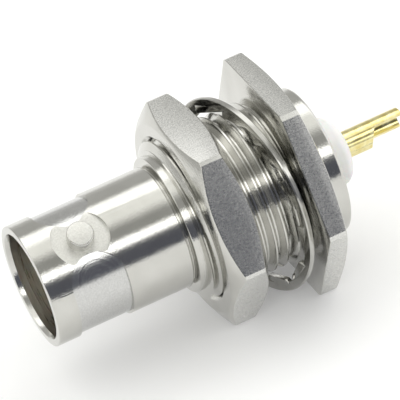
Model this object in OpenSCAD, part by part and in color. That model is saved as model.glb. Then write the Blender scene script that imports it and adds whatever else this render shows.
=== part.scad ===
// Bulkhead coaxial jack with a bayonet barrel, panel nut and solder cup.
// The connector axis is X, from the mouth of the barrel (-X) to the solder cup (+X).
// The origin is on the axis, in the flange face that seats on the panel. +Z is up.

/* [Barrel] */
// Outside diameter of the bayonet barrel
barrel_d = 9.65; // [9.3:0.01:9.9]
// Length of the barrel from its mouth to the relief groove
barrel_len = 11.1; // [10.8:0.1:14]
// Bore that takes the plug
bore_d = 8.15; // [7.9:0.01:8.4]
// Depth of the plug bore
bore_depth = 8.4; // [8:0.1:9.4]
// Radial size of the lead-in at the mouth
lead_in = 0.15; // [0.05:0.01:0.2]
// Length of the lead-in at the mouth
lead_in_len = 0.35; // [0.2:0.01:0.6]
// Edge break round the mouth
mouth_break = 0.1; // [0.05:0.01:0.12]

/* [Bayonet lugs] */
// Diameter of each lug
lug_d = 2.04; // [1.7:0.01:2.2]
// Distance over the tops of both lugs
lug_span = 11; // [10.7:0.01:11.3]
// Distance from the mouth to the lug centres
lug_setback = 3.97; // [3.8:0.01:4.4]
// Edge break round the top of a lug
lug_break = 0.12; // [0.05:0.01:0.2]
// Direction of the first lug about the axis, from +Y towards +Z
lug_angle = 120; // [0:1:180]
// Diameter of the flat that is faced round each lug
spot_d = 4.4; // [4:0.1:4.8]
// Height of that flat above the axis
spot_h = 4.52; // [4.5:0.01:4.6]

/* [Scallops] */
// Width of the shallow scallops between the lugs
scallop_w = 4.3; // [3.6:0.1:4.5]
// Depth of the scallops below the barrel
scallop_depth = 0.2; // [0.1:0.01:0.25]
// Angle from a lug to the centre of a scallop's round end
scallop_angle = 42.9; // [40:0.1:50]

/* [Neck and thread] */
// Width of the relief groove behind the barrel
groove_w = 0.23; // [0.15:0.01:0.4]
// Depth of the relief groove
groove_depth = 0.3; // [0.1:0.01:0.35]
// Diameter of the plain collar ahead of the thread
collar_d = 10.9; // [10.4:0.1:11.4]
// Length of that collar
collar_len = 0.57; // [0.4:0.01:1]
// Length of the shoulder that rises from the collar to the thread
shoulder_len = 0.15; // [0.1:0.01:0.4]
// Major diameter of the panel thread
thread_d = 12.7; // [12.5:0.01:12.8]
// Length of the thread, up to the flange
thread_len = 8.15; // [7.8:0.05:10]
// Distance from one crest of the thread to the next
thread_pitch = 0.9071; // [0.8:0.0001:1.1]
// Depth of the thread
thread_depth = 0.55; // [0.3:0.01:0.6]
// Width of the thread's crests
thread_crest = 0.107; // [0.08:0.001:0.16]
// Distance from the flange to the middle of the last groove
thread_relief = 0.4; // [0.4:0.01:0.7]

/* [Flange and boss] */
// Width of the hexagonal flange across its flats
flange_af = 16.8; // [16.4:0.1:18]
// Thickness of the flange
flange_t = 2; // [1.8:0.1:3]
// Diameter of the round face at the back of the flange
flange_face_d = 15; // [14.4:0.1:15.8]
// Slope of the chamfer at the back of the flange
flange_chamfer = 15.3; // [10:0.1:25]
// Diameter of the boss behind the flange
boss_d = 11.7; // [11:0.1:12.4]
// Length of the boss
boss_len = 1.65; // [1.4:0.05:2.4]
// Chamfer at the end of the boss
boss_chamfer = 0.25; // [0.1:0.01:0.4]

/* [Panel nut] */
// Width of the nut across its flats
nut_af = 15.88; // [15.6:0.01:17]
// Thickness of the nut
nut_t = 3.2; // [2.6:0.1:3.6]
// Diameter of the round face on each side of the nut
nut_face_d = 15.24; // [14.8:0.01:15.5]
// Slope of the chamfers of the nut
nut_chamfer = 27.4; // [15:0.1:35]
// Size of the countersink at each end of the nut's thread
nut_sink = 0.25; // [0.1:0.01:0.4]
// Running clearance between the nut and the thread
nut_clear = 0.05; // [0.03:0.01:0.09]
// Angle that the nut is turned from the flange
nut_angle = 2.77; // [0:0.01:30]

/* [Lock washer] */
// Thickness of the washer's sheet
washer_t = 0.45; // [0.35:0.01:0.55]
// Width of the plain rim that carries the teeth
rim_w = 0.55; // [0.4:0.01:0.7]
// Length of the teeth, in from the rim
tooth_len = 0.65; // [0.5:0.01:0.8]
// Radial gap from the tips of the teeth to the thread, with the washer centred on it
tooth_gap = 0.5; // [0.45:0.01:0.6]
// Number of teeth
tooth_count = 12; // [10:1:14]
// Width of a tooth
tooth_w = 1.7; // [1.4:0.1:2]
// Twist of each tooth out of the sheet
tooth_twist = 12; // [6:1:16]
// Direction of the first tooth about the axis
tooth_angle = 7; // [0:1:30]
// Tilt of the washer as it hangs on the thread
washer_tilt = 12.1; // [6:0.1:12.5]
// Direction of the washer's rear edge about the axis
tilt_angle = 166.7; // [90:0.1:270]
// Gap between the teeth and the top of the thread
hang_gap = 0.17; // [0.05:0.01:0.2]
// Gap between the washer's rear edge and the flange
seat_gap = 0.42; // [0.3:0.01:0.8]
// Gap between the washer's front edge and the nut
nut_gap = 0.04; // [0.04:0.01:0.3]

/* [Insulators] */
// Diameter of the front insulator's nose
nose_d = 4.75; // [4.5:0.01:5]
// Depth of the nose's face below the mouth
nose_setback = 3.4; // [3:0.1:4]
// Diameter of the shoulders that hold both insulators
core_d = 6.3; // [6:0.1:6.8]
// Distance from the flange face forward to the step that they seat on
core_step = 6.2; // [5.8:0.1:7]
// Length of the front insulator's shoulder
front_core_len = 3; // [2.6:0.1:3.6]
// Length of the rear insulator's shoulder
rear_core_len = 2.5; // [2:0.1:3]
// Diameter of the rear insulator's stem
stem_d = 5.4; // [5:0.1:5.6]
// Distance from the flange face to the end of the stem's straight side
stem_end = 5.08; // [4.8:0.01:6]
// Height of the stem's domed end
dome_h = 1.23; // [0.8:0.01:1.6]

/* [Retaining bush] */
// Distance from the end of the boss in to the bush
bush_inset = 0.15; // [0.05:0.01:0.5]

/* [Centre contact] */
// Diameter of the socket end
socket_d = 2.2; // [2:0.01:2.3]
// Bore of the socket
socket_bore = 1.38; // [1.36:0.01:1.5]
// Depth of that bore
socket_depth = 6; // [5:0.1:7]
// Distance that the socket sits below the insulator's face
socket_inset = 0.1; // [0.05:0.01:0.4]
// Width of the slots that part the socket's tines
slot_w = 0.2; // [0.15:0.01:0.25]
// Length of those slots
slot_len = 4.6; // [3.6:0.1:4.9]
// Diameter of the collar that is held between the insulators
stop_d = 3.2; // [2.8:0.1:3.6]
// Length of that collar
stop_len = 2.1; // [1.6:0.1:2.4]
// Diameter of the tail
tail_d = 2.1; // [1.9:0.01:2.2]
// Distance from the flange face to the end of the tail
tail_end = 11.05; // [10.6:0.01:14]
// Diameter of the solder cup's bore
cup_d = 1.5; // [1.3:0.01:1.6]
// Depth of the solder cup
cup_depth = 4.2; // [3.6:0.1:4.6]
// Length of the cup that is cut open to its middle
cup_open = 2.35; // [2:0.01:3]
// Length over which the cut slopes out to the side of the tail
cup_slope = 0.65; // [0.3:0.01:1]
// Direction that the open side of the cup faces
cup_angle = 207; // [0:1:360]

/* [Fits] */
// Radial clearance between pieces that are held one in another
fit = 0.03; // [0.02:0.01:0.06]

/* [Hidden] */
$fn = 96;
past = 0.5;            // how far a cut runs past the face that it opens

barrel_r = barrel_d / 2;
thread_r = thread_d / 2;
groove_top = thread_pitch - thread_crest;
groove_root = groove_top - 2 * thread_depth * tan(30);
collar_x = -thread_len - shoulder_len - collar_len;
groove_x = collar_x - groove_w;
mouth_x = groove_x - barrel_len;
lug_x = mouth_x + lug_setback;
boss_x = flange_t;
boss_end = boss_x + boss_len;

core_r = core_d / 2;
core_x = -core_step;
joint_x = core_x + front_core_len;          // where the two insulators meet
bush_x = joint_x + rear_core_len;           // where the bush bears on the rear one
bush_end = boss_end - bush_inset;
nose_x = mouth_x + nose_setback;
socket_x = nose_x + socket_inset;
stop_x = joint_x - stop_len;
cup_cut_x = tail_end - cup_open;

// Radii of the washer at the tips of its teeth, inside its rim and outside
tooth_tip_r = thread_r + tooth_gap;
rim_r = tooth_tip_r + tooth_len;
washer_r = rim_r + rim_w;

// Half the space that the tilted washer takes along the axis, at its rim and at its teeth
rim_reach = washer_r * sin(washer_tilt) + washer_t / 2 * cos(washer_tilt);
tooth_rise = tooth_w / 2 * sin(tooth_twist) + washer_t / 2 * cos(tooth_twist);
tooth_reach = rim_r * sin(washer_tilt) + tooth_rise * cos(washer_tilt);
washer_reach = max(rim_reach, tooth_reach);
washer_x = -seat_gap - washer_reach;
washer_drop = tooth_gap - hang_gap;
nut_end = washer_x - washer_reach - nut_gap;
nut_x = nut_end - nut_t;
nut_bore_r = thread_r + nut_clear;

// Turns a shape built along Z to run along X, with its own X on +Y and its own Y on +Z
module on_axis(x) {
    translate([x, 0, 0]) rotate([90, 0, 90]) children();
}

// A ring round the axis from a half section: points are [distance along X, radius]
module turned(section) {
    on_axis(0) rotate_extrude() polygon([for (p = section) [p[1], p[0]]]);
}

// A hexagonal prism with a corner on its own X
module hexagon(af, t) {
    cylinder(d = af / cos(30), h = t, $fn = 6);
}

// What is left inside the corner chamfers of a nut of thickness t: a disc with a round face at
// each end and sides that slope out to its middle
module corner_trim(face_d, slope, t) {
    face_r = face_d / 2;
    middle = t / 2;
    rotate_extrude() polygon([[0, 0], [face_r, 0], [face_r + middle / tan(slope), middle],
                              [face_r, t], [0, t]]);
}

// A pie slice of a disc that reaches from angle a to angle b, for slices under 150 degrees
module slice(r, a, b) {
    mid = (a + b) / 2;
    reach = r / cos((b - a) / 4);
    polygon([[0, 0], reach * [cos(a), sin(a)], reach * [cos(mid), sin(mid)],
             reach * [cos(b), sin(b)]]);
}

// Places a shape at both lugs, with its own Z pointing out of the barrel
module at_lugs() {
    for (side = [0, 180])
        on_axis(lug_x) rotate([0, 0, lug_angle + side]) rotate([0, 90, 0]) children();
}

module lug() {
    top = lug_span / 2;
    cylinder(d = lug_d, h = top - lug_break);
    translate([0, 0, top - lug_break])
        cylinder(d1 = lug_d, d2 = lug_d - 2 * lug_break, h = lug_break);
}

// The cut that faces the flat round a lug, with a sloping side
module spot_cut() {
    depth = barrel_r - spot_h + past;
    translate([0, 0, spot_h]) cylinder(d1 = spot_d, d2 = spot_d + 2 * depth, h = depth);
}

// The cut for both scallops: a shallow band with round ends on each side of the lugs
module scallop_cut() {
    floor_r = barrel_r - scallop_depth;
    outer = barrel_r + past;
    difference() {
        union() {
            on_axis(lug_x - scallop_w / 2) rotate([0, 0, lug_angle]) for (side = [0, 180])
                linear_extrude(scallop_w)
                    slice(outer, side + scallop_angle, side + 180 - scallop_angle);
            on_axis(lug_x) for (side = [0, 180], end = [-1, 1])
                rotate([0, 0, lug_angle + side + end * scallop_angle]) rotate([0, 90, 0])
                    cylinder(d = scallop_w, h = outer);
        }
        on_axis(mouth_x) cylinder(r = floor_r, h = barrel_len);
    }
}

module barrel() {
    difference() {
        turned([[mouth_x, 0], [mouth_x, barrel_r - mouth_break],
                [mouth_x + mouth_break, barrel_r], [groove_x, barrel_r], [groove_x, 0]]);
        scallop_cut();
        at_lugs() spot_cut();
    }
    at_lugs() lug();
}

// The thread from its front to the flange, drawn as rings at its pitch: a half section's points
function thread_rings(count) = [for (i = [count - 1 : -1 : 0])
    let (x = -thread_relief - i * thread_pitch, root_r = thread_r - thread_depth)
    each [[x - groove_top / 2, thread_r], [x - groove_root / 2, root_r],
          [x + groove_root / 2, root_r], [x + groove_top / 2, thread_r]]];

module neck_and_boss() {
    groove_r = barrel_r - groove_depth;
    rings = 1 + floor((thread_len - thread_relief - groove_top / 2) / thread_pitch);
    collar_r = collar_d / 2;
    boss_r = boss_d / 2;
    turned(concat(
        [[groove_x - past, 0], [groove_x - past, groove_r], [collar_x, groove_r],
         [collar_x, collar_r], [collar_x + collar_len, collar_r], [-thread_len, thread_r]],
        thread_rings(rings),
        [[boss_x / 2, thread_r], [boss_x / 2, boss_r], [boss_end - boss_chamfer, boss_r],
         [boss_end, boss_r - boss_chamfer], [boss_end, 0]]));
}

module flange() {
    on_axis(0) intersection() {
        hexagon(flange_af, flange_t);
        translate([0, 0, -flange_t]) corner_trim(flange_face_d, flange_chamfer, 2 * flange_t);
    }
}

module body_shell() {
    bore_r = bore_d / 2;
    nose_r = nose_d / 2 + fit;
    seat_r = core_r + fit;
    floor_x = mouth_x + bore_depth;
    color([0.78, 0.77, 0.73]) difference() {
        union() {
            barrel();
            neck_and_boss();
            flange();
        }
        turned([[mouth_x - past, 0], [mouth_x - past, bore_r + lead_in],
                [mouth_x, bore_r + lead_in], [mouth_x + lead_in_len, bore_r],
                [floor_x, bore_r], [floor_x, nose_r], [core_x, nose_r], [core_x, seat_r],
                [boss_end + past, seat_r], [boss_end + past, 0]]);
    }
}

module hex_nut() {
    mouth_r = nut_bore_r + nut_sink;
    color([0.74, 0.74, 0.72]) difference() {
        on_axis(nut_x) rotate([0, 0, nut_angle]) intersection() {
            hexagon(nut_af, nut_t);
            corner_trim(nut_face_d, nut_chamfer, nut_t);
        }
        turned([[nut_x - past, 0], [nut_x - past, mouth_r], [nut_x, mouth_r],
                [nut_x + nut_sink, nut_bore_r], [nut_end - nut_sink, nut_bore_r],
                [nut_end, mouth_r], [nut_end + past, mouth_r], [nut_end + past, 0]]);
    }
}

// One tooth, standing in from the rim along its own X and twisted about that line
module tooth() {
    rotate([tooth_twist, 0, 0]) translate([0, -tooth_w / 2, -washer_t / 2])
        cube([rim_r + rim_w / 10, tooth_w, washer_t]);
}

module lock_washer() {
    middle = washer_t / 2;
    color([0.62, 0.62, 0.58])
        translate([washer_x, 0, -washer_drop])
            rotate([tilt_angle, 0, 0]) rotate([0, 0, -washer_tilt]) rotate([-tilt_angle, 0, 0])
                on_axis(0) union() {
                    translate([0, 0, -middle]) difference() {
                        cylinder(r = washer_r, h = washer_t);
                        cylinder(r = rim_r, h = washer_t);
                    }
                    difference() {
                        for (i = [0 : tooth_count - 1])
                            rotate([0, 0, tooth_angle + i * 360 / tooth_count]) tooth();
                        cylinder(r = tooth_tip_r, h = tooth_w, center = true);
                    }
                }
}

module front_insulator() {
    nose_r = nose_d / 2;
    color([0.93, 0.92, 0.88]) difference() {
        turned([[nose_x, 0], [nose_x, nose_r], [core_x, nose_r], [core_x, core_r],
                [joint_x, core_r], [joint_x, 0]]);
        turned([[nose_x - past, 0], [nose_x - past, socket_d / 2 + fit],
                [stop_x, socket_d / 2 + fit], [stop_x, stop_d / 2 + fit],
                [joint_x + past, stop_d / 2 + fit], [joint_x + past, 0]]);
    }
}

// The cut that opens one side of the solder cup, sloping out at its start
module cup_side_cut() {
    out = tail_d;
    slope = cup_slope * out / (tail_d / 2);
    on_axis(0) rotate([0, 0, cup_angle]) rotate([90, 0, 0])
        linear_extrude(2 * out, center = true)
            polygon([[0, cup_cut_x], [out, cup_cut_x - slope], [out, tail_end + past],
                     [0, tail_end + past]]);
}

module centre_contact() {
    color([0.86, 0.71, 0.32]) difference() {
        turned([[socket_x, 0], [socket_x, socket_d / 2], [stop_x, socket_d / 2],
                [stop_x, stop_d / 2], [joint_x, stop_d / 2], [joint_x, tail_d / 2],
                [tail_end, tail_d / 2], [tail_end, 0]]);
        on_axis(socket_x - past) cylinder(d = socket_bore, h = socket_depth + past);
        for (turn = [0, 90])
            rotate([turn, 0, 0]) translate([socket_x - past, -slot_w / 2, -socket_d])
                cube([slot_len + past, slot_w, 2 * socket_d]);
        on_axis(tail_end - cup_depth) cylinder(d = cup_d, h = cup_depth + past);
        cup_side_cut();
    }
}

// Half section of the domed end, as points along a quarter of an ellipse
function dome(steps) = [for (i = [1 : steps]) let (a = 90 * i / steps)
    [stem_end + dome_h * sin(a), stem_d / 2 * cos(a)]];

module rear_insulator() {
    color([0.95, 0.95, 0.94]) difference() {
        turned(concat([[joint_x, 0], [joint_x, core_r], [bush_x, core_r], [bush_x, stem_d / 2],
                       [stem_end, stem_d / 2]], dome(16)));
        on_axis(joint_x - past)
            cylinder(d = tail_d + 2 * fit, h = stem_end + dome_h - joint_x + 2 * past);
    }
}

module retaining_bush() {
    color([0.72, 0.6, 0.36]) difference() {
        on_axis(bush_x) cylinder(r = core_r, h = bush_end - bush_x);
        on_axis(bush_x - past)
            cylinder(r = stem_d / 2 + fit, h = bush_end - bush_x + 2 * past);
    }
}

body_shell();
hex_nut();
lock_washer();
front_insulator();
centre_contact();
rear_insulator();
retaining_bush();
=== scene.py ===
"""Bulkhead coaxial jack with a bayonet barrel: panel nut, lock washer, domed insulator, gold tail.

The connector's axis is X, from the mouth of the barrel to the solder cup, and +Z is up. Pieces are
modelled in millimetres round the origin, and finished() takes each one to metres.
"""

import math

import bmesh
import bpy
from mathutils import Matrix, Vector


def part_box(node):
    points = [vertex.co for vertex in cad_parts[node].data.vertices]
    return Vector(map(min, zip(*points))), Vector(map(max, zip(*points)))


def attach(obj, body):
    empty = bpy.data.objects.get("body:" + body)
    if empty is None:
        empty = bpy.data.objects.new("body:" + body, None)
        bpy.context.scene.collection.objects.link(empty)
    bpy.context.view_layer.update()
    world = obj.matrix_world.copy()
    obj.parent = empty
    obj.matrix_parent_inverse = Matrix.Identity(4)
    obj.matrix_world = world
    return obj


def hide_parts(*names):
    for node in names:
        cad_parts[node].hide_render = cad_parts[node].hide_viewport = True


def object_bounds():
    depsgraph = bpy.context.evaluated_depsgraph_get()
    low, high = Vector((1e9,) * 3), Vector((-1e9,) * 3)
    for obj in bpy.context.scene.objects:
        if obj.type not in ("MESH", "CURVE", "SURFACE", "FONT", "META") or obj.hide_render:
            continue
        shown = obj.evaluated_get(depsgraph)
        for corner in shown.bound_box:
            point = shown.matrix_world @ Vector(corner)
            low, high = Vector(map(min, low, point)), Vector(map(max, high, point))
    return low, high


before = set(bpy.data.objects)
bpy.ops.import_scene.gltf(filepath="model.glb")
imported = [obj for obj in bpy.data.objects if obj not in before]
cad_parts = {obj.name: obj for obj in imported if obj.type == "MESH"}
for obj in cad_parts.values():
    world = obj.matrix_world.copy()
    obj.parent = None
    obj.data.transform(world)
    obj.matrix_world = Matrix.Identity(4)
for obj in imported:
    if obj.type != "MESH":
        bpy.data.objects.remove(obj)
cad_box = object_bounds()

MM = 1000
AROUND = 192                     # facets round a turned surface
CLOSE = 0.0005                   # points nearer than this are one point


def box_mm(node):
    low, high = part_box(node)
    return low * MM, high * MM


shell_low, shell_high = box_mm("body_shell")
nut_low, nut_high = box_mm("hex_nut")
washer_low, washer_high = box_mm("lock_washer")
contact_low, contact_high = box_mm("centre_contact")
rear_low, rear_high = box_mm("rear_insulator")

# Barrel
mouth_x = shell_low.x
barrel_r = 4.825
bore_r = 4.075
bore_floor_x = mouth_x + 8.4
lead_in = 0.15
lead_in_len = 0.35
lug_x = mouth_x + 3.97
lug_angle = 120
lug_r = 1.02
lug_top = 5.5
lug_break = 0.12
spot_r = 2.2
spot_h = 4.52
scallop_w = 4.3
scallop_depth = 0.2
scallop_angle = 42.9
cut_break = 0.05

# Neck, thread, flange and boss
collar_x = -8.87
groove_x = collar_x - 0.23
groove_r = barrel_r - 0.3
collar_r = 5.45
collar_len = 0.57
thread_x = -8.15
thread_r = 6.35
thread_root_r = 5.8
turn_per_metre = 6926.36          # the nut's turn, in radians, over its travel
pitch = 2 * math.pi / turn_per_metre * MM
thread_start = thread_x - 1.2
thread_stop = -0.15
thread_floor_w = 0.12
thread_mouth_w = 0.8
flange_r = shell_high.z
flange_t = 2.0
flange_face_r = 7.5
flange_slope = 15.3
boss_r = 5.85
boss_end = shell_high.x

# Nut
nut_x, nut_end = nut_low.x, nut_high.x
nut_r = 7.94
nut_face_r = 7.62
nut_slope = 27.4
nut_turn = 2.77
nut_bore_r = 6.4
nut_sink = 0.25
nut_corner = 0.2
flange_corner = 0.25

# Lock washer
washer_x = (washer_low.x + washer_high.x) / 2
washer_t = 0.45
washer_tilt = 12.1
tilt_angle = 166.7
tooth_count = 12
tooth_angle = 7
tooth_twist = 8
tooth_w = 3.4
tooth_tip_r = 6.85
rim_r = 7.3
washer_r = 8.05
washer_drop = 0.33
washer_break = 0.08
shear_step = 0.04                # between the two bands that shearing leaves on the rim

# Insulators and contact
core_r = 3.15
core_x = -6.2
core_end = -0.7
nose_bore_r = 2.4
snug = 0.03                      # room between an insulator and its neighbour
insulators_x = rear_low.x
stem_r = 2.7
stem_end = 5.08
dome_end = rear_high.x
socket_x = contact_low.x
socket_r = 1.1
stop_r = 1.6
stop_len = 2.1
socket_bore_r = 0.69
socket_depth = 6
slot_w = 0.2
slot_len = 4.6
tail_r = 1.05
tail_end = contact_high.x
cup_r = 0.75
cup_depth = 4.2
cup_open = 2.35
cup_slope = 0.65
cup_angle = 207


# ---------------------------------------------------------------- modelling helpers

def deselect():
    if bpy.context.object and bpy.context.object.mode != "OBJECT":
        bpy.ops.object.mode_set(mode="OBJECT")
    bpy.ops.object.select_all(action="DESELECT")


def take(piece):
    deselect()
    piece.select_set(True)
    bpy.context.view_layer.objects.active = piece


def named(name):
    piece = bpy.context.object
    piece.name = piece.data.name = name
    return piece


def edit(piece):
    take(piece)
    bpy.ops.object.mode_set(mode="EDIT")
    bpy.ops.mesh.select_mode(type="VERT")
    bpy.ops.mesh.select_all(action="SELECT")


def done(piece):
    bpy.ops.object.mode_set(mode="OBJECT")
    return piece


def outward(piece):
    """Joins doubled points and turns every face outwards."""
    edit(piece)
    bpy.ops.mesh.remove_doubles(threshold=CLOSE)
    bpy.ops.mesh.normals_make_consistent(inside=False)
    return done(piece)


def place(piece):
    bpy.ops.object.transform_apply(location=True, rotation=True, scale=True)
    return piece


def modify(piece, kind, **settings):
    """Adds a modifier with these settings and applies it."""
    take(piece)
    modifier = piece.modifiers.new(kind.lower(), kind)
    for key, value in settings.items():
        setattr(modifier, key, value)
    bpy.ops.object.modifier_apply(modifier=modifier.name)
    return piece


def combine(piece, tool, operation):
    """Cuts, joins or trims a piece with a tool, which is then used up."""
    modify(piece, "BOOLEAN", operation=operation, object=tool, solver="EXACT")
    bpy.data.objects.remove(tool)
    return piece


def drawn_line(name, points, closed, filled=False):
    """A line through (x, r) points, with r along +Y, begun as a plane shrunk to one point."""
    deselect()
    bpy.ops.mesh.primitive_plane_add(size=1, location=(0, 0, 0))
    line = named(name)
    edit(line)
    bpy.ops.mesh.merge(type="CENTER")
    at = Vector((0, 0, 0))
    for k, (x, r) in enumerate(points):
        step = Vector((x, r, 0)) - at
        if k == 0:
            bpy.ops.transform.translate(value=step)
        else:
            bpy.ops.mesh.extrude_vertices_move(TRANSFORM_OT_translate={"value": step})
        at += step
    done(line)
    if closed:
        edit(line)
        bpy.ops.mesh.select_all(action="DESELECT")
        mesh = bmesh.from_edit_mesh(line.data)
        for v in mesh.verts:
            v.select = len(v.link_edges) == 1
        bmesh.update_edit_mesh(line.data)
        bpy.ops.mesh.select_mode(type="VERT")
        bpy.ops.mesh.edge_face_add()
        if filled:
            bpy.ops.mesh.select_all(action="SELECT")
            bpy.ops.mesh.edge_face_add()
        done(line)
    return line


def turned(name, section, closed=False, around=AROUND):
    """A solid turned round the connector's axis from (x, r) points."""
    piece = drawn_line(name, section, closed)
    edit(piece)
    bpy.ops.mesh.spin(steps=around, angle=2 * math.pi, center=(0, 0, 0), axis=(-1, 0, 0))
    done(piece)
    return outward(piece)


def arc_block(name, section, start, sweep):
    """A block swept round the axis from a start angle, with a flat face at both ends."""
    block = drawn_line(name, section, closed=True, filled=True)
    edit(block)
    bpy.ops.mesh.spin(steps=round(AROUND * sweep / 360), angle=math.radians(sweep),
                      center=(0, 0, 0), axis=(-1, 0, 0))
    bpy.ops.mesh.fill_holes(sides=0)
    done(block)
    outward(block)
    block.rotation_euler = (math.radians(start), 0, 0)
    take(block)
    return place(block)


def stud(name, radius, base, top, x, angle, around=48):
    """A round stud that stands out of the axis at x, at an angle from +Y towards +Z."""
    deselect()
    bpy.ops.mesh.primitive_cylinder_add(vertices=around, radius=radius, depth=top - base,
                                        location=(0, 0, (base + top) / 2))
    piece = named(name)
    place(piece)
    piece.rotation_euler = (math.radians(angle - 90), 0, 0)
    piece.location = (x, 0, 0)
    take(piece)
    return place(piece)


def rounded(corner, before, after, radius, steps=5):
    """Points of a small round at a corner of a section, between its two neighbours."""
    c, a, b = Vector(corner), Vector(before), Vector(after)
    u, v = (a - c).normalized(), (b - c).normalized()
    half = u.angle(v) / 2
    reach = radius / math.tan(half)
    centre = c + (u + v).normalized() * (radius / math.sin(half))
    start = (c + u * reach - centre).normalized()
    end = (c + v * reach - centre).normalized()
    return [tuple(centre + start.slerp(end, k / steps) * radius) for k in range(steps + 1)]


def softened(section, rounds, closed=True):
    """A section with some corners rounded: rounds gives the radius at each corner's index."""
    points = []
    n = len(section)
    for k, p in enumerate(section):
        r = rounds.get(k, 0)
        if r and (closed or 0 < k < n - 1):
            points += rounded(p, section[k - 1], section[(k + 1) % n], r)
        else:
            points.append(tuple(p))
    return points


def hexagon_bar(name, across, x0, x1, turn, corner):
    """A hexagonal bar along X with its long edges broken, one corner on +Y before its turn."""
    deselect()
    bpy.ops.mesh.primitive_cylinder_add(vertices=6, radius=across / math.cos(math.radians(30)),
                                        depth=x1 - x0, location=((x0 + x1) / 2, 0, 0),
                                        rotation=(0, math.radians(90), 0))
    bar = named(name)
    place(bar)
    edit(bar)
    bpy.ops.mesh.select_all(action="DESELECT")
    mesh = bmesh.from_edit_mesh(bar.data)
    bpy.ops.mesh.select_mode(type="EDGE")
    for e in mesh.edges:
        along = e.verts[0].co - e.verts[1].co
        e.select_set(abs(along.x) > 0.9 * along.length)
    bmesh.update_edit_mesh(bar.data)
    bpy.ops.mesh.bevel(offset=corner, segments=1, affect="EDGES")
    done(bar)
    bar.rotation_euler = (math.radians(turn), 0, 0)
    take(bar)
    return place(bar)


def smooth(piece, angle=24):
    take(piece)
    bpy.ops.object.shade_smooth_by_angle(angle=math.radians(angle))
    return piece


def true_round(piece, largest):
    """Gives cylinders round the axis the normals of a true round, so that no cut dents their shine."""
    mesh = piece.data
    normals = [Vector((0, 0, 0)) for _ in mesh.loops]
    for face in mesh.polygons:
        spots = [mesh.vertices[v].co for v in face.vertices]
        reach = [math.hypot(p.y, p.z) for p in spots]
        if max(reach) > largest or max(reach) - min(reach) > 0.003 or abs(face.normal.x) > 0.01:
            continue
        out = Vector((0, face.center.y, face.center.z)).normalized().dot(face.normal)
        if abs(out) < 0.99:
            continue
        for loop in face.loop_indices:
            p = mesh.vertices[mesh.loops[loop].vertex_index].co
            normals[loop] = Vector((0, p.y, p.z)).normalized() * (1 if out > 0 else -1)
    mesh.normals_split_custom_set(normals)
    return piece


def finished(piece, body, slot, material, *nodes):
    """Takes a piece to metres, gives it its material and has it ride on its body."""
    take(piece)
    piece.scale = (1 / MM,) * 3
    place(piece)
    if not piece.data.materials:
        piece.data.materials.append(material)
    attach(piece, body)
    if nodes:
        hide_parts(*nodes)
    return piece


def screw_groove(name, x0, x1, root_r, top_r, root_w, top_w, outside):
    """The cut of a right-hand screw thread, a coil of trapezium section from x0 to past x1."""
    rise = 0.04
    section = [(x0 - root_w / 2, root_r), (x0 - top_w / 2 + rise, top_r - rise),
               (x0 - top_w / 2, top_r + rise / 4), (x0 - top_w / 2, outside),
               (x0 + top_w / 2, outside), (x0 + top_w / 2, top_r + rise / 4),
               (x0 + top_w / 2 - rise, top_r - rise), (x0 + root_w / 2, root_r)]
    coil = drawn_line(name, section, closed=True)
    modify(coil, "SCREW", axis="X", screw_offset=pitch, angle=2 * math.pi, steps=AROUND,
           render_steps=AROUND, iterations=math.ceil((x1 - x0) / pitch), use_merge_vertices=False)
    edit(coil)
    bpy.ops.mesh.fill_holes(sides=0)
    done(coil)
    return outward(coil)


# ---------------------------------------------------------------- the shell

def cut_scallops(body):
    """Cuts a shallow band on each side of the lugs, with a round end near each lug."""
    floor_r = barrel_r - scallop_depth
    outer = barrel_r + 0.5
    half_w = scallop_w / 2
    section = [(lug_x - half_w, floor_r), (lug_x + half_w, floor_r),
               (lug_x + half_w, outer), (lug_x - half_w, outer)]
    for side in (0, 180):
        middle = lug_angle + side
        band = arc_block("scallop_band", section, middle + scallop_angle,
                         180 - 2 * scallop_angle)
        combine(body, band, "DIFFERENCE")
        for end in (-scallop_angle, scallop_angle):
            round_end = stud("scallop_end", half_w - 0.003, 3.5, outer, lug_x, middle + end, 64)
            core = turned("scallop_floor", [(mouth_x, 0), (mouth_x, floor_r),
                                            (groove_x, floor_r), (groove_x, 0)])
            combine(body, combine(round_end, core, "DIFFERENCE"), "DIFFERENCE")


def spot_cutter(angle):
    """The faced flat round one lug."""
    return stud("spot", spot_r, spot_h, barrel_r + 1.0, lug_x, angle, 64)


def lug(angle):
    """One bayonet lug with a softened top edge."""
    piece = stud("lug", lug_r, 4.2, lug_top, lug_x, angle)
    out = Vector((0, math.cos(math.radians(angle)), math.sin(math.radians(angle))))
    edit(piece)
    bpy.ops.mesh.select_all(action="DESELECT")
    bpy.ops.mesh.select_mode(type="EDGE")
    mesh = bmesh.from_edit_mesh(piece.data)
    for e in mesh.edges:
        e.select_set(all(v.co.dot(out) > lug_top - 0.01 for v in e.verts))
    bmesh.update_edit_mesh(piece.data)
    bpy.ops.mesh.bevel(offset=lug_break, segments=4, affect="EDGES")
    return done(piece)


def soften_cuts(piece):
    """Breaks the edges of the scallops and the faced flats."""
    edit(piece)
    bpy.ops.mesh.select_all(action="DESELECT")
    bpy.ops.mesh.select_mode(type="EDGE")
    mesh = bmesh.from_edit_mesh(piece.data)
    for e in mesh.edges:
        if len(e.link_faces) != 2 or e.calc_face_angle(0) < math.radians(20):
            continue
        near = all(abs(v.co.x - lug_x) < 3.2 and math.hypot(v.co.y, v.co.z) > bore_r + 0.2
                   for v in e.verts)
        e.select_set(near)
    bmesh.update_edit_mesh(piece.data)
    bpy.ops.mesh.bevel(offset=cut_break, segments=2, affect="EDGES", clamp_overlap=True)
    return done(piece)


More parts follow.
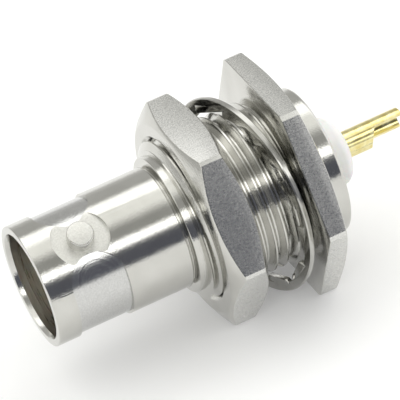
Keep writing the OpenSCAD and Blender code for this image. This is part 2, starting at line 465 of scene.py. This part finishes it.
def shell_core():
    """The turned part of the shell, from the mouth to the end of the boss."""
    outline = [
        (mouth_x, bore_r + lead_in), (mouth_x, barrel_r), (groove_x, barrel_r),
        (groove_x, groove_r), (collar_x, groove_r), (collar_x, collar_r),
        (collar_x + collar_len, collar_r), (thread_x, thread_r), (flange_t / 2, thread_r),
        (flange_t / 2, boss_r), (boss_end, boss_r), (boss_end, core_r + snug),
        (core_x, core_r + snug), (core_x, nose_bore_r), (bore_floor_x, nose_bore_r),
        (bore_floor_x, bore_r), (mouth_x + lead_in_len, bore_r)]
    rounds = {0: 0.05, 1: 0.1, 2: 0.08, 3: 0.05, 4: 0.05, 5: 0.1, 7: 0.08, 10: 0.25, 11: 0.08}
    return turned("shell", softened(outline, rounds), closed=True)


def flange():
    """The hexagon of the flange with its corners chamfered at the back."""
    bar = hexagon_bar("flange", flange_r, 0, flange_t, 0, flange_corner)
    middle = flange_r + 3
    slope = math.tan(math.radians(flange_slope))
    outline = [(-1, 0), (-1, middle), (flange_t - (middle - flange_face_r) * slope, middle),
               (flange_t, flange_face_r), (flange_t, 0)]
    trim = turned("flange_trim", softened(outline, {3: 0.3}, closed=False))
    combine(bar, trim, "INTERSECT")
    return modify(bar, "BEVEL", width=0.07, segments=2, limit_method="ANGLE",
                  angle_limit=math.radians(40))


def shell(material, flat_material, bore_material, milled_material, faced_material):
    """The whole shell: turned, milled, threaded and joined to its lugs and its flange."""
    body = shell_core()
    cut_scallops(body)
    for angle in (lug_angle, lug_angle + 180):
        combine(body, spot_cutter(angle), "DIFFERENCE")
    soften_cuts(body)
    for angle in (lug_angle, lug_angle + 180):
        combine(body, lug(angle), "UNION")
    groove = screw_groove("thread_cut", thread_start, thread_stop, thread_root_r, thread_r,
                          thread_floor_w, thread_mouth_w, thread_r + 0.4)
    combine(body, groove, "DIFFERENCE")
    combine(body, flange(), "UNION")
    smooth(body)
    true_round(body, thread_r + 0.01)
    body.data.materials.append(material)
    finish_flats(body, flat_material)
    finish_bore(body, bore_material)
    finish_scallops(body, milled_material)
    finish_facings(body, faced_material)
    return finished(body, "jack", "nickel_plate", material, "body_shell")


# ---------------------------------------------------------------- nut and washer

def nut(material, flat_material):
    """The panel nut, chamfered on both sides and countersunk at both ends of its bore."""
    bar = hexagon_bar("nut", nut_r, nut_x, nut_end, nut_turn, nut_corner)
    far = nut_r + 3
    slope = math.tan(math.radians(nut_slope))
    deep = (far - nut_face_r) * slope
    outline = [(nut_x, 0), (nut_x, nut_face_r), (nut_x + deep, far), (nut_end - deep, far),
               (nut_end, nut_face_r), (nut_end, 0)]
    trim = turned("nut_trim", softened(outline, {1: 0.25, 4: 0.25}, closed=False))
    combine(bar, trim, "INTERSECT")
    modify(bar, "BEVEL", width=0.06, segments=2, limit_method="ANGLE",
           angle_limit=math.radians(40))
    hole = turned("nut_hole", [(nut_x - 1, 0), (nut_x - 1, nut_bore_r + nut_sink),
                               (nut_x, nut_bore_r + nut_sink), (nut_x + nut_sink, nut_bore_r),
                               (nut_end - nut_sink, nut_bore_r),
                               (nut_end, nut_bore_r + nut_sink),
                               (nut_end + 1, nut_bore_r + nut_sink), (nut_end + 1, 0)])
    combine(bar, hole, "DIFFERENCE")
    smooth(bar)
    bar.data.materials.append(material)
    finish_flats(bar, flat_material)
    return finished(bar, "nut", "nickel_nut", material, "hex_nut")


def tooth():
    """One tongue of the lock washer, along +Y, twisted out of its sheet towards the tip."""
    deselect()
    length = rim_r + 0.15 - tooth_tip_r
    bpy.ops.mesh.primitive_cube_add(size=1)
    piece = named("tooth")
    piece.scale = (washer_t, length, tooth_w)
    place(piece)
    modify(piece, "BEVEL", width=0.07, segments=3, limit_method="ANGLE",
           angle_limit=math.radians(50))
    for side in range(1, 8):
        edit(piece)
        bpy.ops.mesh.bisect(plane_co=(0, length * (side / 8 - 0.5), 0), plane_no=(0, 1, 0))
        done(piece)
    for v in piece.data.vertices:
        along = 0.5 - v.co.y / length
        turn = math.radians(tooth_twist) * along
        x, z = v.co.x, v.co.z * (1 - 0.1 * along)
        v.co = Vector((x * math.cos(turn) + z * math.sin(turn), v.co.y + tooth_tip_r + length / 2,
                       z * math.cos(turn) - x * math.sin(turn)))
    return piece


def washer(material):
    """The lock washer, made flat round the axis, then tilted and dropped on to the thread."""
    half = washer_t / 2
    edge = washer_break
    back_r = washer_r - shear_step
    section = softened([(-half, rim_r), (-half, washer_r - edge), (-half + edge, washer_r),
                        (0, washer_r), (0.03, back_r), (half - edge, back_r),
                        (half, back_r - edge - 0.01), (half, rim_r)], {0: 0.1, 7: 0.1})
    rim = turned("washer", section, closed=True)
    master = tooth()
    teeth = []
    for k in range(tooth_count):
        copy = master.copy()
        copy.data = master.data.copy()
        bpy.context.collection.objects.link(copy)
        copy.rotation_euler = (math.radians(tooth_angle + k * 360 / tooth_count), 0, 0)
        take(copy)
        teeth.append(place(copy))
    bpy.data.objects.remove(master)
    take(rim)
    for copy in teeth:
        copy.select_set(True)
    bpy.ops.object.join()
    rim.location = (0, 0, -washer_drop)
    place(rim)
    edit(rim)
    bpy.ops.mesh.normals_make_consistent(inside=False)
    done(rim)
    turn, lean = math.radians(tilt_angle), math.radians(washer_tilt)
    for v in rim.data.vertices:
        x, y, z = v.co.x, v.co.y, v.co.z + washer_drop
        out = y * math.cos(turn) + z * math.sin(turn)
        side = -y * math.sin(turn) + z * math.cos(turn)
        x, out = x * math.cos(lean) + out * math.sin(lean), out * math.cos(lean) - x * math.sin(lean)
        v.co = Vector((x + washer_x, out * math.cos(turn) - side * math.sin(turn),
                       out * math.sin(turn) + side * math.cos(turn) - washer_drop))
    smooth(rim, 40)
    return finished(rim, "washer", "washer_steel", material, "lock_washer")


# ---------------------------------------------------------------- insulators and contact

def rear_insulator(material):
    """The insulator behind the contact's stop, with its domed end."""
    steps = 12
    rise = dome_end - stem_end
    dome = [(stem_end + rise * math.sin(math.radians(90 * k / steps)),
             stem_r * math.cos(math.radians(90 * k / steps))) for k in range(steps)]
    hole_r = tail_r + snug
    dome = [p for p in dome if p[1] > hole_r]
    dome.append((stem_end + rise * math.sqrt(1 - (hole_r / stem_r) ** 2), hole_r))
    section = [(insulators_x, hole_r), (insulators_x, core_r), (core_end, core_r),
               (core_end, stem_r)] + dome
    piece = turned("insulator_dome", section, closed=True)
    smooth(piece, 40)
    return finished(piece, "jack", "white_insulator", material, "rear_insulator")


def contact(material):
    """The centre contact: a slotted socket in front, a stop, and a tail with its solder cup."""
    outline = [(socket_x, 0), (socket_x, socket_r), (insulators_x - stop_len, socket_r),
               (insulators_x - stop_len, stop_r), (insulators_x, stop_r), (insulators_x, tail_r),
               (tail_end, tail_r), (tail_end, 0)]
    pin = turned("contact", softened(outline, {1: 0.1, 3: 0.1, 4: 0.1, 6: 0.1}, closed=False),
                 around=64)
    bore = turned("contact_bore", [(socket_x - 1, 0), (socket_x - 1, socket_bore_r),
                                   (socket_x + socket_depth, socket_bore_r),
                                   (socket_x + socket_depth + 0.2, 0)], around=48)
    combine(pin, bore, "DIFFERENCE")
    cup = turned("cup_bore", [(tail_end - cup_depth - 0.3, 0), (tail_end - cup_depth, cup_r),
                              (tail_end + 1, cup_r), (tail_end + 1, 0)], around=48)
    combine(pin, cup, "DIFFERENCE")
    for turn in (0, 90):
        deselect()
        bpy.ops.mesh.primitive_cube_add(size=1, location=(socket_x + slot_len / 2 - 0.5, 0, 0))
        slot = named("slot")
        slot.scale = (slot_len + 1, slot_w, 4)
        slot.rotation_euler = (math.radians(turn), 0, 0)
        place(slot)
        combine(pin, slot, "DIFFERENCE")
    wall = 3.0
    cut_x = tail_end - cup_open
    side = drawn_line("cup_side", [(cut_x, 0), (cut_x - cup_slope * wall / tail_r, wall),
                                   (tail_end + 1, wall), (tail_end + 1, 0)],
                      closed=True, filled=True)
    edit(side)
    bpy.ops.mesh.extrude_region_move(TRANSFORM_OT_translate={"value": (0, 0, 4)})
    done(side)
    side.location = (0, 0, -2)
    take(side)
    place(side)
    outward(side)
    side.rotation_euler = (math.radians(cup_angle), 0, 0)
    take(side)
    place(side)
    combine(pin, side, "DIFFERENCE")
    modify(pin, "BEVEL", width=0.035, segments=2, limit_method="ANGLE",
           angle_limit=math.radians(35))
    smooth(pin)
    return finished(pin, "jack", "gold_plate", material, "centre_contact")


# ---------------------------------------------------------------- materials

class Finish:
    """A metal or plastic finish, built up node by node on a Principled shader."""

    def __init__(self, name, colour, roughness, metallic=1.0):
        self.material = bpy.data.materials.new(name)
        self.material.use_nodes = True
        self.tree = self.material.node_tree
        self.shader = self.tree.nodes["Principled BSDF"]
        self.set("Base Color", (*colour, 1))
        self.set("Roughness", roughness)
        self.set("Metallic", metallic)
        self.place = self.node("ShaderNodeTexCoord").outputs["Object"]

    def set(self, socket, value):
        self.shader.inputs[socket].default_value = value

    def node(self, kind, **settings):
        made = self.tree.nodes.new(kind)
        for key, value in settings.items():
            setattr(made, key, value)
        return made

    def link(self, start, end):
        self.tree.links.new(start, end)

    def sum_up(self, operation, a, b=None):
        made = self.node("ShaderNodeMath", operation=operation)
        for socket, value in zip(made.inputs, (a, b)):
            if isinstance(value, (int, float)):
                socket.default_value = value
            elif value is not None:
                self.link(value, socket)
        return made.outputs[0]

    def stretched(self, x, y, z):
        """Object coordinates scaled to so many grains a millimetre along each axis."""
        mapping = self.node("ShaderNodeMapping")
        mapping.inputs["Scale"].default_value = (x * MM, y * MM, z * MM)
        self.link(self.place, mapping.inputs["Vector"])
        return mapping.outputs["Vector"]

    def parts(self):
        """The three object coordinates by themselves, in metres."""
        split = self.node("ShaderNodeSeparateXYZ")
        self.link(self.place, split.inputs[0])
        return split.outputs

    def round_axis(self, fine, along):
        """Coordinates that stay the same round the axis, but for a slow change along a mark."""
        x, y, z = self.parts()
        radius = self.sum_up("SQRT", self.sum_up("ADD", self.sum_up("MULTIPLY", y, y),
                                                 self.sum_up("MULTIPLY", z, z)))
        angle = self.sum_up("ARCTAN2", z, y)
        joined = self.node("ShaderNodeCombineXYZ")
        self.link(self.sum_up("MULTIPLY", x, fine * MM), joined.inputs[0])
        self.link(self.sum_up("MULTIPLY", radius, fine * MM), joined.inputs[1])
        self.link(self.sum_up("MULTIPLY", angle, along), joined.inputs[2])
        return joined.outputs[0]

    def noise(self, where, scale=1.0, detail=2.0, rough=0.5):
        made = self.node("ShaderNodeTexNoise")
        self.link(where, made.inputs["Vector"])
        made.inputs["Scale"].default_value = scale
        made.inputs["Detail"].default_value = detail
        made.inputs["Roughness"].default_value = rough
        return made.outputs["Fac"]

    def spread(self, value, low, high, out_low, out_high):
        made = self.node("ShaderNodeMapRange")
        self.link(value, made.inputs["Value"])
        for key, number in (("From Min", low), ("From Max", high), ("To Min", out_low),
                            ("To Max", out_high)):
            made.inputs[key].default_value = number
        return made.outputs["Result"]

    def relief(self, height, depth, before=None):
        """Bump of a real depth in millimetres, laid over an earlier bump."""
        bump = self.node("ShaderNodeBump")
        bump.inputs["Strength"].default_value = 1.0
        bump.inputs["Distance"].default_value = depth / MM
        self.link(height, bump.inputs["Height"])
        if before:
            self.link(before, bump.inputs["Normal"])
        self.link(bump.outputs["Normal"], self.shader.inputs["Normal"])
        return bump.outputs["Normal"]

    def tint(self, value, dark, light):
        """Base colour that drifts between two shades."""
        made = self.node("ShaderNodeMix", data_type="RGBA")
        self.link(value, made.inputs["Factor"])
        made.inputs[6].default_value = (*dark, 1)
        made.inputs[7].default_value = (*light, 1)
        self.link(made.outputs[2], self.shader.inputs["Base Color"])


def turned_nickel():
    f = Finish("turned_nickel", (0.57, 0.565, 0.535), 0.1)
    marks = f.noise(f.round_axis(11, 14), detail=3, rough=0.6)
    grain = f.noise(f.stretched(8, 8, 8), detail=3, rough=0.6)
    cloud = f.noise(f.stretched(0.5, 0.5, 0.5), detail=3)
    f.link(f.spread(grain, 0.3, 0.7, 0.07, 0.15), f.shader.inputs["Roughness"])
    f.relief(marks, 0.007, f.relief(grain, 0.006))
    f.tint(f.spread(cloud, 0.3, 0.7, 0, 1), (0.55, 0.545, 0.515), (0.6, 0.595, 0.565))
    return f.material


def faced_nickel():
    """The matt faced flats round the lugs and on their tops."""
    f = Finish("faced_nickel", (0.74, 0.735, 0.7), 0.4)
    grain = f.noise(f.stretched(8, 8, 8), detail=3, rough=0.6)
    f.link(f.spread(grain, 0.3, 0.7, 0.34, 0.48), f.shader.inputs["Roughness"])
    f.relief(grain, 0.006)
    f.tint(f.spread(grain, 0.35, 0.65, 0, 1), (0.68, 0.675, 0.64), (0.8, 0.795, 0.76))
    return f.material


def milled_nickel():
    """The floors that an end mill leaves, with arcs round the ends of the scallops."""
    f = Finish("milled_nickel", (0.58, 0.58, 0.57), 0.14)
    x, y, z = f.parts()
    from_lug = f.sum_up("SUBTRACT", x, lug_x / MM)
    arcs = None
    for angle in (lug_angle + scallop_angle, lug_angle - scallop_angle):
        across = f.sum_up("SUBTRACT", f.sum_up("MULTIPLY", z, math.cos(math.radians(angle))),
                          f.sum_up("MULTIPLY", y, math.sin(math.radians(angle))))
        reach = f.sum_up("SQRT", f.sum_up("ADD", f.sum_up("MULTIPLY", across, across),
                                          f.sum_up("MULTIPLY", from_lug, from_lug)))
        arcs = reach if arcs is None else f.sum_up("MINIMUM", arcs, reach)
    joined = f.node("ShaderNodeCombineXYZ")
    f.link(f.sum_up("MULTIPLY", arcs, 7 * MM), joined.inputs[0])
    marks = f.noise(joined.outputs[0], detail=2)
    grain = f.noise(f.stretched(9, 9, 9), detail=2)
    f.link(f.spread(marks, 0.3, 0.7, 0.1, 0.22), f.shader.inputs["Roughness"])
    f.relief(marks, 0.006, f.relief(grain, 0.004))
    f.tint(f.spread(grain, 0.35, 0.65, 0, 1), (0.54, 0.54, 0.53), (0.62, 0.62, 0.61))
    return f.material


def bore_nickel():
    """The thin dull plating inside the barrel."""
    f = Finish("bore_nickel", (0.5, 0.475, 0.42), 0.32)
    marks = f.noise(f.round_axis(8, 2), detail=3)
    f.link(f.spread(marks, 0.3, 0.7, 0.24, 0.4), f.shader.inputs["Roughness"])
    f.relief(marks, 0.003)
    f.tint(f.spread(marks, 0.3, 0.7, 0, 1), (0.44, 0.415, 0.36), (0.56, 0.535, 0.475))
    return f.material


def drawn_nickel():
    """The flats of both hexagons, which keep the grain of the drawn bar."""
    f = Finish("drawn_nickel", (0.64, 0.635, 0.6), 0.26)
    speckle = f.noise(f.stretched(7, 8, 8), detail=4, rough=0.7)
    scratches = f.noise(f.stretched(0.4, 11, 11), detail=3, rough=0.6)
    f.link(f.spread(speckle, 0.3, 0.7, 0.22, 0.32), f.shader.inputs["Roughness"])
    f.relief(speckle, 0.005, f.relief(scratches, 0.003))
    f.tint(f.spread(speckle, 0.35, 0.65, 0, 1), (0.57, 0.57, 0.555), (0.7, 0.695, 0.67))
    return f.material


# Stamped steel of the lock washer. It is partly darker by its own finish and partly painted shade: its
# base colour and both tint shades are set lower, for the shadow on the washer's face and the dark nut
# it reflects.
def stamped_steel_painted_shade():
    f = Finish("stamped_steel_painted_shade", (0.47, 0.465, 0.44), 0.12)
    grain = f.noise(f.stretched(5, 5, 5), detail=3)
    cloud = f.noise(f.stretched(0.8, 0.8, 0.8), detail=2)
    f.link(f.spread(cloud, 0.3, 0.7, 0.1, 0.24), f.shader.inputs["Roughness"])
    f.relief(grain, 0.0015)
    f.tint(f.spread(cloud, 0.3, 0.7, 0, 1), (0.43, 0.425, 0.4), (0.52, 0.515, 0.49))
    return f.material


def gold_plate():
    f = Finish("gold_plate", (0.8, 0.7, 0.33), 0.14)
    marks = f.noise(f.round_axis(10, 2), detail=3)
    cloud = f.noise(f.stretched(1.6, 1.6, 1.6), detail=3)
    f.link(f.spread(cloud, 0.3, 0.7, 0.1, 0.26), f.shader.inputs["Roughness"])
    f.relief(marks, 0.001, f.relief(cloud, 0.012))
    f.tint(f.spread(cloud, 0.35, 0.65, 0, 1), (0.74, 0.62, 0.24), (0.86, 0.79, 0.45))
    return f.material


def fluoropolymer():
    f = Finish("fluoropolymer", (0.9, 0.9, 0.89), 0.42, metallic=0.0)
    f.set("Subsurface Weight", 0.25)
    f.set("Subsurface Scale", 0.0006)
    cloud = f.noise(f.stretched(0.9, 0.9, 0.9), detail=3)
    marks = f.noise(f.round_axis(7, 1), detail=2)
    f.link(f.spread(cloud, 0.3, 0.7, 0.36, 0.5), f.shader.inputs["Roughness"])
    f.relief(marks, 0.001)
    f.tint(f.spread(cloud, 0.3, 0.7, 0, 1), (0.87, 0.87, 0.86), (0.93, 0.93, 0.925))
    return f.material


def turned_brass():
    f = Finish("turned_brass", (0.6, 0.45, 0.2), 0.28)
    marks = f.noise(f.round_axis(12, 2), detail=3)
    f.link(f.spread(marks, 0.3, 0.7, 0.2, 0.36), f.shader.inputs["Roughness"])
    f.relief(marks, 0.002)
    f.tint(f.spread(marks, 0.3, 0.7, 0, 1), (0.55, 0.4, 0.17), (0.66, 0.51, 0.25))
    return f.material


def finish_flats(piece, material):
    """Gives the flats of a hexagon the finish of the drawn bar."""
    finish_faces(piece, material, lambda face, near, far:
                 abs(face.normal.x) < 0.2 and near > 7.6)


def finish_bore(piece, material):
    """Gives the bore for the plug its dull finish."""
    finish_faces(piece, material, lambda face, near, far:
                 far < bore_r + 0.12 and mouth_x + 0.1 < face.center.x < bore_floor_x + 0.1)


def finish_scallops(piece, material):
    """Gives the floors of the scallops and the faced flats their cutter marks."""
    floor_r = barrel_r - scallop_depth
    finish_faces(piece, material, lambda face, near, far:
                 floor_r - 0.01 < far < floor_r + 0.02 and near > floor_r - 0.01
                 and abs(face.center.x - lug_x) < scallop_w / 2 and abs(face.normal.x) < 0.3)


def finish_facings(piece, material):
    """Gives the flats round the lugs, and the tops of the lugs, their matt finish."""
    out = Vector((0, math.cos(math.radians(lug_angle)), math.sin(math.radians(lug_angle))))
    finish_faces(piece, material, lambda face, near, far:
                 abs(face.normal.dot(out)) > 0.99 and far < lug_top + 0.2
                 and abs(face.center.x - lug_x) < spot_r
                 and (abs(abs(face.center.dot(out)) - spot_h) < 0.02
                      or abs(face.center.dot(out)) > lug_top - 0.02))


def finish_faces(piece, material, chosen):
    """Adds a material to a piece and gives it to the chosen faces."""
    piece.data.materials.append(material)
    for face in piece.data.polygons:
        reach = [math.hypot(piece.data.vertices[v].co.y, piece.data.vertices[v].co.z)
                 for v in face.vertices]
        if chosen(face, min(reach), max(reach)):
            face.material_index = len(piece.data.materials) - 1


nickel, bar_nickel, shaded_steel = turned_nickel(), drawn_nickel(), stamped_steel_painted_shade()
gold, white, brass = gold_plate(), fluoropolymer(), turned_brass()

shell(nickel, bar_nickel, bore_nickel(), milled_nickel(), faced_nickel())
nut(nickel, bar_nickel)
washer(shaded_steel)
rear_insulator(white)
contact(gold)
for node, material in (("front_insulator", white), ("retaining_bush", brass)):
    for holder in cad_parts[node].material_slots:
        holder.material = material


# ---------------------------------------------------------------- floor, light and camera

def floor():
    """A large pale floor under the flange, which goes on to white where it fills the view."""
    deselect()
    bpy.ops.mesh.primitive_plane_add(size=4, location=(0, 0, cad_box[0].z))
    base = named("floor")
    place(base)
    paper = bpy.data.materials.new("floor_paper")
    paper.use_nodes = True
    nodes, links = paper.node_tree.nodes, paper.node_tree.links
    shader = nodes["Principled BSDF"]
    shader.inputs["Base Color"].default_value = (0.82, 0.82, 0.82, 1)
    shader.inputs["Roughness"].default_value = 0.9
    shader.inputs["Specular IOR Level"].default_value = 0.1
    path = nodes.new("ShaderNodeLightPath")
    seen = path.outputs["Is Camera Ray"]
    for ray in ("Is Glossy Ray", "Is Transmission Ray"):
        either = nodes.new("ShaderNodeMath")
        either.operation = "MAXIMUM"
        links.new(seen, either.inputs[0])
        links.new(path.outputs[ray], either.inputs[1])
        seen = either.outputs[0]
    glow = nodes.new("ShaderNodeMath")
    glow.operation = "MULTIPLY"
    glow.inputs[1].default_value = 0.2
    links.new(seen, glow.inputs[0])
    shader.inputs["Emission Color"].default_value = (1, 1, 1, 1)
    links.new(glow.outputs[0], shader.inputs["Emission Strength"])
    base.data.materials.append(paper)


def studio_light():
    """A long soft light over and behind the object, a narrow one near the camera, and grey
    surroundings that darken towards the front. Angles are round the X axis, from +Y over +Z.
    A pale wall closes the room at the tail's end."""
    world = bpy.data.worlds.new("studio")
    bpy.context.scene.world = world
    world.use_nodes = True
    nodes, links = world.node_tree.nodes, world.node_tree.links
    where = nodes.new("ShaderNodeTexCoord")
    parts = nodes.new("ShaderNodeSeparateXYZ")
    links.new(where.outputs["Generated"], parts.inputs[0])
    angle = nodes.new("ShaderNodeMath")
    angle.operation = "ARCTAN2"
    links.new(parts.outputs["Z"], angle.inputs[0])
    links.new(parts.outputs["Y"], angle.inputs[1])
    turn = nodes.new("ShaderNodeMath")
    turn.operation = "DIVIDE"
    turn.inputs[1].default_value = math.pi
    links.new(angle.outputs[0], turn.inputs[0])
    ramp = nodes.new("ShaderNodeValToRGB")
    links.new(turn.outputs[0], ramp.inputs["Fac"])
    peak = 3.0
    back, soft_box, overhead = (0.58, 0.58, 0.56), (2.0, 2.0, 1.96), (1.3, 1.3, 1.25)
    shade, strip, front = (0.44, 0.44, 0.42), (2.6, 2.6, 2.55), (0.13, 0.135, 0.16)
    sky = [(0, (0.8, 0.8, 0.78)), (16, back), (45, back), (51, soft_box), (70, soft_box),
           (77, overhead), (95, overhead), (112, shade), (130, shade), (134, strip),
           (143, strip), (148, (0.3, 0.3, 0.3)), (156, front), (180, front)]
    stops = ramp.color_ramp.elements
    for degrees, colour in sky[1:-1]:
        stops.new(degrees / 180)
    for stop, (degrees, colour) in zip(stops, sky):
        stop.position = degrees / 180
        stop.color = (*[c / peak for c in colour], 1)
    wall = nodes.new("ShaderNodeMapRange")
    wall.interpolation_type = "SMOOTHSTEP"
    links.new(parts.outputs["X"], wall.inputs["Value"])
    wall.inputs["From Min"].default_value = 0.5
    wall.inputs["From Max"].default_value = 0.85
    room = nodes.new("ShaderNodeMix")
    room.data_type = "RGBA"
    links.new(wall.outputs["Result"], room.inputs["Factor"])
    links.new(ramp.outputs["Color"], room.inputs[6])
    room.inputs[7].default_value = (*[1.3 / peak] * 3, 1)
    background = nodes["Background"]
    links.new(room.outputs[2], background.inputs["Color"])
    background.inputs["Strength"].default_value = peak


def camera():
    """Looks down on the connector from its front, on the -Y side."""
    data = bpy.data.cameras.new("camera")
    data.lens = 371.506
    data.sensor_width = 36
    data.clip_start, data.clip_end = 0.01, 10
    eye = bpy.data.objects.new("camera", data)
    eye.location = (-0.081414, -0.234838, 0.182958)
    eye.rotation_euler = [math.radians(a) for a in (52.8093, 10.7703, -25.8996)]
    bpy.context.scene.collection.objects.link(eye)
    bpy.context.scene.camera = eye


floor()
studio_light()
camera()
bpy.context.scene.view_settings.view_transform = "Standard"
